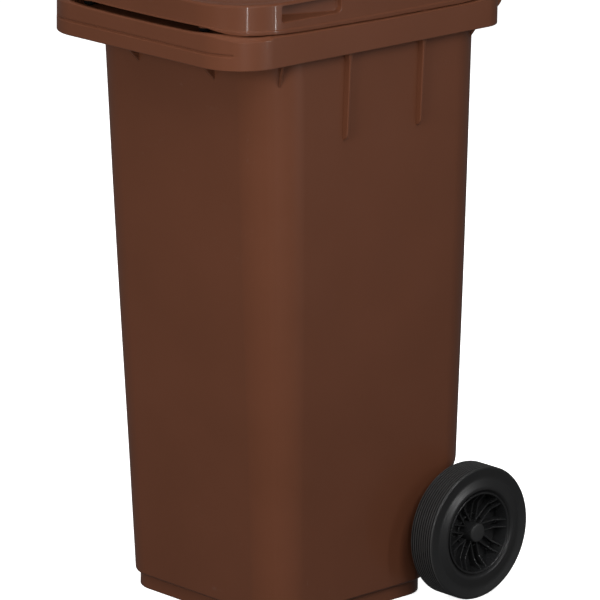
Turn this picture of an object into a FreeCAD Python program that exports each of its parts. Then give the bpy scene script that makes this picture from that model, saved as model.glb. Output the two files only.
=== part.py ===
import FreeCAD, Part
import math
import os

import Sketcher
from FreeCAD import Placement, Rotation, Vector

# Two-wheeled household waste bin, 120 litre class, millimetres.
# Origin: middle of the footprint, on the ground. -Y is the comb side (front), +Y the wheel and
# handle side (rear), +X to the right of someone who stands facing the front, +Z up.

os.makedirs("parts", exist_ok=True)
doc = FreeCAD.newDocument("wheelie_bin")

# ---------------------------------------------------------------- driving dimensions
DIMENSIONS = {
    # tub: a drafted shell with rounded corners, given at its foot and at its mouth
    "foot_height": 22,
    "foot_inset": 7,
    "foot_wall": 6,
    "floor_thickness": 4,
    "tub_wall": 3.5,
    "tub_low_half_width": 168.3,
    "tub_low_front": 158.5,
    "tub_low_radius": 54.3,
    "tub_mouth_half_width": 195,
    "tub_mouth_front": 210.9,
    "tub_mouth_rear": 232.6,
    "tub_mouth_radius": 70.8,
    # wheel recess at the lower rear of the tub
    "recess_rear": 166,
    "recess_radius": 50,
    "recess_top": 128,
    "step_half_width": 171.6,
    "step_front": 164.9,
    "step_radius": 56.3,
    "shelf_half_width": 173.3,
    "shelf_front": 168.2,
    "shelf_rear": 229.7,
    "shelf_radius": 57.4,
    "shelf_height": 184,
    # comb rim
    "rim_half_width": 210,
    "rim_front": 285,
    "rim_rear": 250.5,
    "rim_front_radius": 71,
    "rim_rear_radius": 41,
    "rim_bottom": 848.5,
    "rim_top": 893,
    "rim_wall": 4,
    "band_seam": 870,
    "band_step": 2.5,
    "band_end": 268,
    # stiffening ribs and gussets under the rim
    "web_thickness": 4,
    "web_root": 6,
    "web_cover": 2,
    "front_gusset_x": 79,
    "gusset_drop": 31,
    "gusset_reach": 36,
    "side_rib_front": 59,
    "side_rib_rear": 86,
    "side_rib_root_x": 187,
    "side_rib_outer_x": 201,
    "side_rib_bottom": 721,
    "corner_gusset_angle": 32,
    "corner_gusset_front_reach": 16,
    "corner_gusset_rear_reach": 12,
    # handles and lid hinge, along one line behind the mouth
    "hinge_rear": 271,
    "hinge_height": 903,
    "grip_radius": 13,
    "bracket_radius": 14,
    "bracket_lobe_rear": 260,
    "bracket_lobe_height": 880,
    "bracket_lobe_radius": 18,
    "bracket_thickness": 12,
    "bracket_outer_x": 164,
    "bracket_inner_x": 126,
    "grip_gap_half_width": 116,
    "grip_gap_front": 236,
    "hinge_pin_radius": 5,
    "hinge_pin_head_radius": 8.5,
    "hinge_pin_head": 4,
    "hinge_pin_inner_end": 112,
    "running_clearance": 0.08,
    # lid
    "lid_half_width": 206,
    "lid_front": 281,
    "lid_rear": 236,
    "lid_front_radius": 92,
    "lid_rear_radius": 45,
    "lid_bottom": 894,
    "lid_edge": 936,
    "lid_top": 941,
    "lid_panel_inset": 26,
    "lid_wall": 3,
    "lift_gap_height": 9,
    "lift_gap_half_width": 90,
    "lift_gap_taper": 75,
    "lift_gap_reach": 12,
    "pocket_front": 194,
    "pocket_rear": 80,
    "pocket_depth": 20,
    "pocket_bottom": 910,
    "pocket_top": 932,
    "knuckle_radius": 12,
    "knuckle_width": 22,
    "knuckle_x": 145,
    "buffer_x": 120,
    "buffer_front": 262,
    "buffer_radius": 9,
    "buffer_height": 6,
    "buffer_stem_radius": 3,
    "buffer_stem_top": 18,
    # axle and its bosses in the recess
    "axle_rear": 182,
    "axle_height": 100,
    "axle_radius": 10,
    "axle_half_length": 224,
    "axle_chamfer": 3,
    "boss_radius": 17,
    "boss_inner_x": 112,
    "boss_outer_x": 166,
    "spacer_radius": 15,
    # wheels, given from each wheel's own middle plane
    "wheel_x": 217,
    "wheel_radius": 100,
    "tyre_half_width": 23.5,
    "tyre_bore_radius": 62,
    "tread_groove_depth": 1.2,
    "tread_groove_width": 2.4,
    "tread_groove_pitch": 5.8,
    "bead_width": 9,
    "bead_slope": 13,
    "bead_proud": 3.5,
    "shoulder_width": 5.5,
    "hub_ring_inner_radius": 57.5,
    "hub_ring_half_width": 20,
    "hub_web_radius": 17,
    "hub_web_thickness": 4,
    "hub_barrel_radius": 17,
    "hub_barrel_inner": 30,
    "hub_barrel_outer": 15,
    "spoke_pair_gap": 8.8,
    "spoke_thickness": 2.4,
    "spoke_height": 11,
    "spoke_turn": -7,
    "spoke_root": 3,
    "cap_radius": 14,
    "cap_height": 4,
    "cap_spigot": 3.5,
    # snap lock of each wheel: a sprung pin that drops into a groove round the axle
    "lock_x": 14,
    "lock_groove_radius": 7,
    "lock_groove_half_width": 4.4,
    "lock_tip_gap": 0.15,
    "lock_pin_radius": 4,
    "lock_pin_length": 16,
    "lock_spring_radius": 3.2,
    "lock_spring_wire": 0.45,
    "lock_spring_turns": 5,
    "lock_plug_radius": 5,
    "lock_plug_bottom": 34,
    "lock_tower_top": 41,
    "lock_tower_radius": 8,
}
SPOKE_PAIRS = 9

sheet = doc.addObject("Spreadsheet::Sheet", "Dims")
for row, (alias, number) in enumerate(DIMENSIONS.items(), start=1):
    sheet.set(f"A{row}", alias)
    sheet.set(f"B{row}", str(number))
    sheet.setAlias(f"B{row}", alias)
doc.recompute()


class Size:
    """A length with the spreadsheet expression that drives it."""

    def __init__(self, value, text):
        self.value = value
        self.text = text

    def __add__(self, other):
        other = size(other)
        return Size(self.value + other.value, f"({self.text} + {other.text})")

    def __sub__(self, other):
        other = size(other)
        return Size(self.value - other.value, f"({self.text} - {other.text})")

    def __mul__(self, other):
        other = size(other)
        return Size(self.value * other.value, f"({self.text} * {other.text})")

    def __neg__(self):
        return Size(-self.value, f"(0 - {self.text})")

    __radd__ = __add__
    __rmul__ = __mul__

    def __rsub__(self, other):
        return size(other) - self


def size(number):
    return number if isinstance(number, Size) else Size(float(number), repr(float(number)))


class Sheet:
    """Dims.name as an attribute, so that sums of cells read as plain sums."""

    def __getattr__(self, alias):
        return Size(float(DIMENSIONS[alias]), f"Dims.{alias}")


D = Sheet()


# ---------------------------------------------------------------- small builders
def bind(thing, prop, length):
    thing.setExpression(prop, size(length).text)


def place(thing, x=0, y=0, z=0):
    for axis, length in zip("xyz", (x, y, z)):
        bind(thing, f"Placement.Base.{axis}", length)
    return thing


def constrain_point(sketch, geometry, end, x, y):
    for kind, length in (("DistanceX", x), ("DistanceY", y)):
        number = sketch.addConstraint(
            Sketcher.Constraint(kind, -1, 1, geometry, end, size(length).value))
        bind(sketch, f"Constraints[{number}]", length)


def draw_polygon(sketch, points):
    """A closed outline whose corners are each held at a spreadsheet position."""
    corners = [Vector(size(x).value, size(y).value, 0) for x, y in points]
    count = len(corners)
    for k in range(count):
        sketch.addGeometry(Part.LineSegment(corners[k], corners[(k + 1) % count]), False)
    for k in range(count):
        sketch.addConstraint(Sketcher.Constraint("Coincident", k, 2, (k + 1) % count, 1))
    for k, (x, y) in enumerate(points):
        constrain_point(sketch, k, 1, x, y)


def section(name, half_width, front, rear, front_radius, rear_radius, height):
    """A level rounded rectangle: front is the distance towards -Y, rear towards +Y."""
    sketch = doc.addObject("Sketcher::SketchObject", name)
    wide, near, far, r1, r2 = (size(v).value for v in
                               (half_width, front, rear, front_radius, rear_radius))
    quarter = math.pi / 2
    arcs = ((wide - r1, r1 - near, r1, -1), (wide - r2, far - r2, r2, 0),
            (r2 - wide, far - r2, r2, 1), (r1 - wide, r1 - near, r1, 2))
    for x, y, radius, turn in arcs:
        circle = Part.Circle(Vector(x, y, 0), Vector(0, 0, 1), radius)
        sketch.addGeometry(Part.ArcOfCircle(circle, turn * quarter, (turn + 1) * quarter), False)
    sides = ((Vector(wide, r1 - near, 0), Vector(wide, far - r2, 0)),
             (Vector(wide - r2, far, 0), Vector(r2 - wide, far, 0)),
             (Vector(-wide, far - r2, 0), Vector(-wide, r1 - near, 0)),
             (Vector(r1 - wide, -near, 0), Vector(wide - r1, -near, 0)))
    for start, end in sides:
        sketch.addGeometry(Part.LineSegment(start, end), False)
    for k in range(4):
        line = 4 + k
        sketch.addConstraint(Sketcher.Constraint("Tangent", k, 2, line, 1))
        sketch.addConstraint(Sketcher.Constraint("Tangent", line, 2, (k + 1) % 4, 1))
        sketch.addConstraint(Sketcher.Constraint("Horizontal" if k % 2 else "Vertical", line))
    for kind, line, length in (("DistanceX", 4, half_width), ("DistanceY", 5, rear),
                               ("DistanceX", 6, -size(half_width)), ("DistanceY", 7, -size(front))):
        number = sketch.addConstraint(
            Sketcher.Constraint(kind, -1, 1, line, 1, size(length).value))
        bind(sketch, f"Constraints[{number}]", length)
    for arc, radius in enumerate((front_radius, rear_radius, rear_radius, front_radius)):
        number = sketch.addConstraint(Sketcher.Constraint("Radius", arc, size(radius).value))
        bind(sketch, f"Constraints[{number}]", radius)
    bind(sketch, "Placement.Base.z", height)
    return sketch


def loft(name, *sketches):
    thing = doc.addObject("Part::Loft", name)
    thing.Sections = list(sketches)
    thing.Solid = True
    thing.Ruled = True
    return thing


def plate(name, points, low_x, high_x):
    """An outline in the YZ plane, extruded from low_x to high_x."""
    sketch = doc.addObject("Sketcher::SketchObject", name + "_outline")
    sketch.Placement = Placement(Vector(), Rotation(Vector(1, 1, 1), 120))
    draw_polygon(sketch, points)
    thing = doc.addObject("Part::Extrusion", name)
    thing.Base = sketch
    thing.DirMode = "Normal"
    thing.Solid = True
    bind(thing, "LengthFwd", high_x)
    bind(thing, "LengthRev", -size(low_x))
    return thing


def box(name, low, high):
    thing = doc.addObject("Part::Box", name)
    for prop, start, end in zip(("Length", "Width", "Height"), low, high):
        bind(thing, prop, size(end) - size(start))
    return place(thing, *low)


def rod(name, radius, low_x, high_x, y, z):
    """A cylinder along X."""
    thing = doc.addObject("Part::Cylinder", name)
    thing.Placement = Placement(Vector(), Rotation(Vector(0, 1, 0), 90))
    bind(thing, "Radius", radius)
    bind(thing, "Height", size(high_x) - size(low_x))
    return place(thing, low_x, y, z)


def post(name, radius, x, y, low_z, high_z):
    """A cylinder along Z."""
    thing = doc.addObject("Part::Cylinder", name)
    bind(thing, "Radius", radius)
    bind(thing, "Height", size(high_z) - size(low_z))
    return place(thing, x, y, low_z)


def fuse(name, things):
    thing = doc.addObject("Part::MultiFuse", name)
    thing.Shapes = list(things)
    thing.Refine = True
    return thing


def cut(name, base, *tools):
    thing = doc.addObject("Part::Cut", name)
    thing.Base = base
    thing.Tool = tools[0] if len(tools) == 1 else fuse(name + "_tools", tools)
    thing.Refine = True
    return thing


def common(name, *things):
    thing = doc.addObject("Part::MultiCommon", name)
    thing.Shapes = list(things)
    return thing


def turned(label, profile):
    """A body turned about the X axis from an outline of (x, radius) points."""
    body = doc.addObject("PartDesign::Body", label)
    body.Label = label
    plane = next(f for f in body.Origin.OriginFeatures if f.Role == "XZ_Plane")
    sketch = body.newObject("Sketcher::SketchObject", label + "_outline")
    sketch.AttachmentSupport = (plane, [""])
    sketch.MapMode = "FlatFace"
    draw_polygon(sketch, profile)
    doc.recompute()
    turn = body.newObject("PartDesign::Revolution", label + "_turned")
    turn.Profile = sketch
    turn.ReferenceAxis = (sketch, ["H_Axis"])
    turn.Angle = 360
    body.Tip = turn
    return body


def stand_on_end(thing, x, y, z):
    """Turns a piece made along X to point up."""
    thing.Placement = Placement(Vector(), Rotation(Vector(0, 1, 0), -90))
    return place(thing, x, y, z)


SIDES = (("right", 1, 0), ("left", -1, 180))
FAR = size(400)


def facing(thing, turn, x, y, z):
    """Places a piece made for the right-hand side, or the same piece turned to the left."""
    thing.Placement = Placement(Vector(), Rotation(Vector(0, 0, 1), turn))
    return place(thing, x, y, z)


# ---------------------------------------------------------------- tub
def tub_shell():
    def sections(name, grow, lift):
        """Foot, recess top, shelf and mouth, each shifted inwards by -grow and up by lift."""
        low = (D.tub_low_half_width + grow, D.tub_low_front + grow, D.recess_rear + grow,
               D.tub_low_radius + grow, D.recess_radius + grow)
        step = (D.step_half_width + grow, D.step_front + grow, D.recess_rear + grow,
                D.step_radius + grow, D.recess_radius + grow)
        shelf = (D.shelf_half_width + grow, D.shelf_front + grow, D.shelf_rear + grow,
                 D.shelf_radius + grow, D.shelf_radius + grow)
        mouth = (D.tub_mouth_half_width + grow, D.tub_mouth_front + grow, D.tub_mouth_rear + grow,
                 D.tub_mouth_radius + grow, D.tub_mouth_radius + grow)
        return (section(name + "_low", *low, D.foot_height + lift * 2),
                section(name + "_step", *step, D.recess_top + lift),
                section(name + "_shelf", *shelf, D.shelf_height + lift),
                section(name + "_mouth", *mouth, D.rim_top))

    outer = loft("tub_outer", *sections("outer", size(0), size(0)))
    inner = loft("tub_inner", *sections("inner", -D.tub_wall, D.floor_thickness * 0.5))
    foot_sizes = (D.tub_low_half_width - D.foot_inset, D.tub_low_front - D.foot_inset,
                  D.recess_rear - D.foot_inset, D.tub_low_radius - D.foot_inset,
                  D.recess_radius - D.foot_inset)
    foot = loft("foot_outer", section("foot_base", *(v - 1 for v in foot_sizes), 0),
                section("foot_upper", *foot_sizes, D.foot_height + 1))
    foot_hollow = loft(
        "foot_hollow",
        section("foot_hollow_base", *(v - D.foot_wall for v in foot_sizes), -1),
        section("foot_hollow_upper", *(v - D.foot_wall for v in foot_sizes), D.foot_height))
    return outer, inner, foot, foot_hollow


def rim_block(name, inset, low, high):
    sizes = (D.rim_half_width - inset, D.rim_front - inset, D.rim_rear - inset,
             D.rim_front_radius - inset, D.rim_rear_radius - inset)
    return loft(name, section(name + "_low", *sizes, low), section(name + "_high", *sizes, high))


def rim(outer):
    """The comb rim: an upside-down channel round the mouth, webbed, open below."""
    block = rim_block("rim_block", size(0), D.rim_bottom, D.rim_top)
    hollow = cut("rim_hollow",
                 rim_block("rim_hollow_block", D.rim_wall, D.rim_bottom - 1, D.rim_top - D.rim_wall),
                 outer)
    band = cut("band_tool",
               common("band_front",
                      rim_block("band_block", size(-2), D.band_seam, D.rim_top + 1),
                      box("band_reach", (-FAR, -FAR, D.band_seam), (FAR, -D.band_end, D.rim_top + 1))),
               rim_block("band_core", D.band_step, D.band_seam - 1, D.rim_top + 2))
    grip_gap = box("grip_gap",
                   (-D.grip_gap_half_width, D.grip_gap_front, D.rim_bottom - 2),
                   (D.grip_gap_half_width, D.rim_rear + 2, D.rim_top + 2))
    return cut("rim", block, hollow, band, grip_gap)


def webs():
    """Gussets between rim and wall, and the two long ribs down each side."""
    pieces = []
    half = D.web_thickness * 0.5
    wall_y = -(D.tub_mouth_front - D.web_root)
    rim_y = -(D.rim_front - D.web_cover)
    low = D.rim_bottom - D.gusset_drop
    high = D.rim_top - D.web_cover
    gusset = ((wall_y, low), (wall_y, high), (rim_y, high), (rim_y, D.rim_bottom + D.web_cover),
              (wall_y - D.gusset_reach, D.rim_bottom))
    for name, sign, turn in SIDES:
        x = D.front_gusset_x * sign
        pieces.append(plate(f"front_gusset_{name}", gusset, x - half, x + half))
        for label, y in (("front", -D.side_rib_front), ("rear", D.side_rib_rear)):
            ends = sorted((D.side_rib_root_x * sign, D.side_rib_outer_x * sign),
                          key=lambda v: v.value)
            pieces.append(box(f"side_rib_{label}_{name}", (ends[0], y - half, D.side_rib_bottom),
                              (ends[1], y + half, high)))
        pieces.append(corner_gusset(f"corner_gusset_front_{name}", sign, -1))
        pieces.append(corner_gusset(f"corner_gusset_rear_{name}", sign, 1))
    return pieces


def corner_gusset(name, sign, end):
    """A radial web at a corner of the rim: end is -1 for the front and 1 for the rear."""
    across = D.tub_mouth_half_width - D.tub_mouth_radius
    along = (D.tub_mouth_front if end < 0 else D.tub_mouth_rear) - D.tub_mouth_radius
    near = D.tub_mouth_radius - D.web_root
    reach = D.tub_mouth_radius + (D.corner_gusset_front_reach if end < 0
                                  else D.corner_gusset_rear_reach)
    sketch = doc.addObject("Sketcher::SketchObject", name + "_outline")
    high = D.rim_top - D.web_cover
    draw_polygon(sketch, ((near, D.rim_bottom - D.gusset_drop), (near, high),
                          (reach, high), (reach, D.rim_bottom)))
    angle = DIMENSIONS["corner_gusset_angle"] * end
    heading = angle if sign > 0 else 180 - angle
    upright = Rotation(Vector(0, 0, 1), heading).multiply(Rotation(Vector(1, 0, 0), 90))
    sketch.Placement = Placement(Vector(), upright)
    place(sketch, across * sign, along * end, 0)
    thing = doc.addObject("Part::Extrusion", name)
    thing.Base = sketch
    thing.DirMode = "Normal"
    thing.Solid = True
    thing.Symmetric = True
    bind(thing, "LengthFwd", D.web_thickness)
    return thing


def handles():
    """Brackets behind the rim that carry the grip bar and the hinge pins."""
    pieces = [rod("grip_bar", D.grip_radius, -D.bracket_inner_x, D.bracket_inner_x,
                  D.hinge_rear, D.hinge_height)]
    lobe_y, lobe_z, lobe = D.bracket_lobe_rear, D.bracket_lobe_height, D.bracket_lobe_radius
    hinge_y, hinge_z, boss = D.hinge_rear, D.hinge_height, D.bracket_radius
    # outer tangent of the two round ends, from the hinge boss down to the lobe
    run_y, run_z = hinge_y.value - lobe_y.value, hinge_z.value - lobe_z.value
    span = math.hypot(run_y, run_z)
    lean = (lobe.value - boss.value) / span
    side = math.sqrt(1 - lean * lean)
    normal_y = (run_y * lean + run_z * side) / span
    normal_z = (run_z * lean - run_y * side) / span
    outline = ((D.rim_rear - 4, lobe_z - lobe), (lobe_y, lobe_z - lobe),
               (lobe_y + lobe * normal_y, lobe_z + lobe * normal_z),
               (hinge_y + boss * normal_y, hinge_z + boss * normal_z),
               (hinge_y, hinge_z + boss),
               (D.rim_rear + 2, hinge_z), (D.rim_rear - 4, D.rim_top - 1))
    half = D.bracket_thickness * 0.5
    places = [("middle", size(0))]
    for name, sign, turn in SIDES:
        places.append((f"outer_{name}", D.bracket_outer_x * sign))
        places.append((f"inner_{name}", D.bracket_inner_x * sign))
    for name, x in places:
        shape = outline
        if name == "middle":
            root = D.grip_gap_front - D.web_root
            shape = ((root, lobe_z - lobe),) + outline[1:-1] + (
                (D.grip_gap_front + D.web_cover, D.rim_top - 1), (root, D.rim_top - 1))
        pieces.append(plate(f"bracket_{name}", shape, x - half, x + half))
        pieces.append(rod(f"bracket_boss_{name}", boss, x - half, x + half, hinge_y, hinge_z))
        pieces.append(rod(f"bracket_lobe_{name}", lobe, x - half, x + half, lobe_y, lobe_z))
    return pieces


def axle_bosses():
    """Two webbed bosses in the recess, one near each wheel."""
    pieces = []
    wall = D.recess_rear - 3
    half = D.web_thickness * 0.5 + 0.5
    slope = (D.shelf_height - D.recess_top).value / (D.shelf_rear - D.recess_rear).value
    tip = D.axle_rear + D.boss_radius
    web = ((wall, D.axle_height), (tip, D.axle_height),
           (tip, D.recess_top + (tip - D.recess_rear) * slope + 2), (wall, D.recess_top))
    for name, sign, turn in SIDES:
        ends = sorted((D.boss_inner_x * sign, D.boss_outer_x * sign), key=lambda v: v.value)
        pieces.append(rod(f"boss_{name}", D.boss_radius, *ends, D.axle_rear, D.axle_height))
        pieces.append(box(f"boss_root_{name}", (ends[0], wall, D.axle_height - D.boss_radius),
                          (ends[1], D.axle_rear, D.axle_height + D.boss_radius)))
        for k, x in enumerate((ends[0] + half, ends[1] - half)):
            pieces.append(plate(f"boss_web_{k}_{name}", web, x - half, x + half))
    return pieces


def make_tub():
    outer, inner, foot, foot_hollow = tub_shell()
    solid = fuse("tub_solid", [outer, foot, rim(outer)] + webs() + handles() + axle_bosses())
    axle_bore = rod("axle_bore", D.axle_radius + D.running_clearance, -FAR, FAR,
                    D.axle_rear, D.axle_height)
    pin_bores = []
    for name, sign, turn in SIDES:
        ends = sorted((D.hinge_pin_inner_end * sign, FAR * sign), key=lambda v: v.value)
        pin_bores.append(rod(f"pin_bore_{name}", D.hinge_pin_radius, *ends,
                             D.hinge_rear, D.hinge_height))
    tub = cut("tub_cut", solid, inner, foot_hollow, axle_bore, *pin_bores)
    tub.Label = "tub"
    return tub


# ---------------------------------------------------------------- lid
def lid_form(name, inset, bottom):
    """Skirt, then a raised panel: inset grows inwards on every side and down from the top."""
    skirt = (D.lid_half_width - inset, D.lid_front - inset, D.lid_rear - inset,
             D.lid_front_radius - inset, D.lid_rear_radius - inset)
    panel = tuple(v - D.lid_panel_inset for v in skirt)
    return loft(name, section(name + "_bottom", *skirt, bottom),
                section(name + "_edge", *skirt, D.lid_edge - inset),
                section(name + "_panel", *panel, D.lid_top - inset))


def side_pockets(name, grow):
    pieces = []
    for label, sign, turn in SIDES:
        ends = sorted(((D.lid_half_width - D.pocket_depth - grow) * sign, FAR * sign),
                      key=lambda v: v.value)
        pieces.append(box(f"{name}_{label}", (ends[0], -(D.pocket_front + grow), D.pocket_bottom - grow),
                          (ends[1], -(D.pocket_rear - grow), D.pocket_top + grow)))
    return pieces


def hinge_arms():
    pieces = []
    half = D.knuckle_width * 0.5
    arm = ((D.lid_rear - 2, D.lid_bottom + 3), (D.hinge_rear - 2, D.hinge_height - D.knuckle_radius),
           (D.hinge_rear + 3, D.hinge_height + D.knuckle_radius - 0.5),
           (D.lid_rear - 2, D.lid_edge - 6))
    for name, sign, turn in SIDES:
        x = D.knuckle_x * sign
        pieces.append(plate(f"hinge_arm_{name}", arm, x - half, x + half))
        pieces.append(rod(f"knuckle_{name}", D.knuckle_radius, x - half, x + half,
                          D.hinge_rear, D.hinge_height))
    return pieces


def make_lid():
    outer = cut("lid_outer", lid_form("lid_form", size(0), D.lid_bottom),
                *side_pockets("pocket", size(0)))
    inner = cut("lid_inner", lid_form("lid_hollow", D.lid_wall, D.lid_bottom - 1),
                *side_pockets("pocket_wall", D.lid_wall))
    shell = cut("lid_shell", outer, inner)
    posts = []
    stems = []
    for name, sign, turn in SIDES:
        x = D.buffer_x * sign
        posts.append(post(f"buffer_post_{name}", D.buffer_radius, x, -D.buffer_front,
                          D.lid_bottom + D.buffer_height, D.lid_edge))
        stems.append(post(f"buffer_hole_{name}", D.buffer_stem_radius, x, -D.buffer_front,
                          D.lid_bottom, D.lid_bottom + D.buffer_stem_top + 2))
    solid = fuse("lid_solid", [shell] + hinge_arms() + posts)
    gap = doc.addObject("Sketcher::SketchObject", "lift_gap_outline")
    gap.Placement = Placement(Vector(), Rotation(Vector(1, 0, 0), 90))
    high, wide, taper = D.lift_gap_height, D.lift_gap_half_width, D.lift_gap_taper
    draw_polygon(gap, ((-(wide + taper), D.lid_bottom - 1), (wide + taper, D.lid_bottom - 1),
                       (wide + taper, D.lid_bottom), (wide, D.lid_bottom + high),
                       (-wide, D.lid_bottom + high), (-(wide + taper), D.lid_bottom)))
    gap_tool = doc.addObject("Part::Extrusion", "lift_gap")
    gap_tool.Base = gap
    gap_tool.DirMode = "Normal"
    gap_tool.Solid = True
    bind(gap_tool, "LengthFwd", FAR)
    bind(gap_tool, "LengthRev", -(D.lid_front - D.lift_gap_reach))
    bore = rod("lid_pin_bore", D.hinge_pin_radius + D.running_clearance, -FAR, FAR,
               D.hinge_rear, D.hinge_height)
    lid = cut("lid_cut", solid, gap_tool, bore, *stems)
    lid.Label = "lid"
    return lid


# ---------------------------------------------------------------- turned pieces
def make_hinge_pins():
    shank, head = D.hinge_pin_radius, D.hinge_pin_head_radius
    outer = D.bracket_outer_x + D.bracket_thickness * 0.5
    start, lip = -(outer - D.hinge_pin_inner_end), D.hinge_pin_head
    profile = ((start, 0), (start, shank - 1.5), (start + 1.5, shank), (0, shank), (0, head),
               (lip - 1.5, head), (lip, head - 2), (lip, 0))
    for name, sign, turn in SIDES:
        facing(turned(f"hinge_pin_{name}", profile), turn,
               outer * sign, D.hinge_rear, D.hinge_height)


def make_axle():
    end, radius, bevel = D.axle_half_length, D.axle_radius, D.axle_chamfer
    groove, low = D.lock_groove_half_width, D.lock_groove_radius
    middle = D.wheel_x - D.lock_x
    profile = ((-end, 0), (-end, radius - bevel), (bevel - end, radius),
               (-(middle + groove), radius), (-(middle + groove), low),
               (-(middle - groove), low), (-(middle - groove), radius),
               (middle - groove, radius), (middle - groove, low),
               (middle + groove, low), (middle + groove, radius),
               (end - bevel, radius), (end, radius - bevel), (end, 0))
    place(turned("axle", profile), 0, D.axle_rear, D.axle_height)


def make_spacers():
    bore = D.axle_radius + D.running_clearance
    start = D.boss_outer_x + 0.5
    width = D.wheel_x - D.hub_barrel_inner - 0.5 - start
    profile = ((0, bore), (0, D.spacer_radius - 1), (1, D.spacer_radius),
               (width - 1, D.spacer_radius), (width, D.spacer_radius - 1), (width, bore))
    for name, sign, turn in SIDES:
        facing(turned(f"spacer_{name}", profile), turn, start * sign, D.axle_rear, D.axle_height)


def make_tyres():
    """Solid rubber tyre: grooved tread, rounded shoulders, and sides dished down to a bead."""
    half, outer, bore = D.tyre_half_width, D.wheel_radius, D.tyre_bore_radius
    deep, pitch = D.tread_groove_depth, D.tread_groove_pitch
    tread = []
    for k in range(-3, 4):
        middle = pitch * k
        wide = D.tread_groove_width * 0.5
        tread += [(middle - wide, outer), (middle - wide * 0.4, outer - deep),
                  (middle + wide * 0.4, outer - deep), (middle + wide, outer)]
    side = half - D.bead_proud
    bead, flat = bore + D.bead_width, bore + D.bead_width + D.bead_slope
    face = [(half - 1.5, bore), (half, bore + 1.5), (half, bead), (side, flat),
            (half - 0.6, outer - D.shoulder_width), (half, outer - 3.2), (half - 0.9, outer - 1.2),
            (half - 2.6, outer - 0.3)]
    profile = [(-x, r) for x, r in face] + tread + face[::-1]
    for name, sign, turn in SIDES:
        facing(turned(f"tyre_{name}", profile), turn, D.wheel_x * sign, D.axle_rear, D.axle_height)


def make_hubs():
    """Barrel, web and ring turned as one, then paired ribs as spokes, then the lock pocket."""
    bore = D.axle_radius + D.running_clearance
    ring_in, ring_out, wide = D.hub_ring_inner_radius, D.tyre_bore_radius, D.hub_ring_half_width
    barrel, inner, outer = D.hub_barrel_radius, D.hub_barrel_inner, D.hub_barrel_outer
    web = D.hub_web_thickness * 0.5
    profile = ((-inner, bore), (-inner, barrel - 1), (1 - inner, barrel), (-web, barrel),
               (-web, ring_in), (-wide, ring_in + 1), (-wide, ring_out), (wide, ring_out),
               (wide, ring_in + 1), (web, ring_in), (web, barrel), (outer - 1, barrel),
               (outer, barrel - 1), (outer, bore))
    for name, sign, turn in SIDES:
        wheel = turned(f"hub_turning_{name}", profile)
        ribs = []
        for k in range(SPOKE_PAIRS):
            angle = D.spoke_turn.value + 360 / SPOKE_PAIRS * k
            for edge in (-1, 1):
                rib = doc.addObject("Part::Box", f"spoke_{k}_{edge + 1}_{name}")
                bind(rib, "Length", D.spoke_height * 2)
                bind(rib, "Width", D.spoke_thickness)
                bind(rib, "Height", ring_in - barrel + D.spoke_root * 2)
                across = edge * (D.spoke_pair_gap.value + D.spoke_thickness.value) / 2
                local = Vector(-D.spoke_height.value, across - D.spoke_thickness.value / 2,
                               (barrel - D.spoke_root).value)
                spin = Rotation(Vector(1, 0, 0), angle)
                rib.Placement = Placement(spin.multVec(local), spin)
                ribs.append(rib)
        tower = post(f"lock_tower_{name}", D.lock_tower_radius, -D.lock_x, 0,
                     barrel - 4, D.lock_tower_top)
        solid = fuse(f"hub_solid_{name}", [wheel, tower] + ribs)
        pocket = post(f"lock_pocket_{name}", D.lock_pin_radius + D.running_clearance,
                      -D.lock_x, 0, 0, D.lock_plug_bottom)
        mouth = post(f"lock_mouth_{name}", D.lock_plug_radius, -D.lock_x, 0,
                     D.lock_plug_bottom, D.lock_tower_top + 1)
        clear_bore = rod(f"hub_bore_{name}", bore, -FAR, FAR, 0, 0)
        hub = cut(f"hub_cut_{name}", solid, pocket, mouth, clear_bore)
        hub.Label = f"wheel_hub_{name}"
        facing(hub, turn, D.wheel_x * sign, D.axle_rear, D.axle_height)


def make_caps():
    """Round cover over the axle's end, with a spigot in the barrel's mouth."""
    radius, high, deep = D.cap_radius, D.cap_height, -D.cap_spigot
    spigot = D.axle_radius + D.running_clearance
    profile = ((deep, 0), (deep, spigot), (0, spigot), (0, radius), (high - 1.6, radius),
               (high - 0.4, radius - 1.6), (high, radius - 4), (high, 0))
    for name, sign, turn in SIDES:
        facing(turned(f"hub_cap_{name}", profile), turn,
               (D.wheel_x + D.hub_barrel_outer) * sign, D.axle_rear, D.axle_height)


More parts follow.
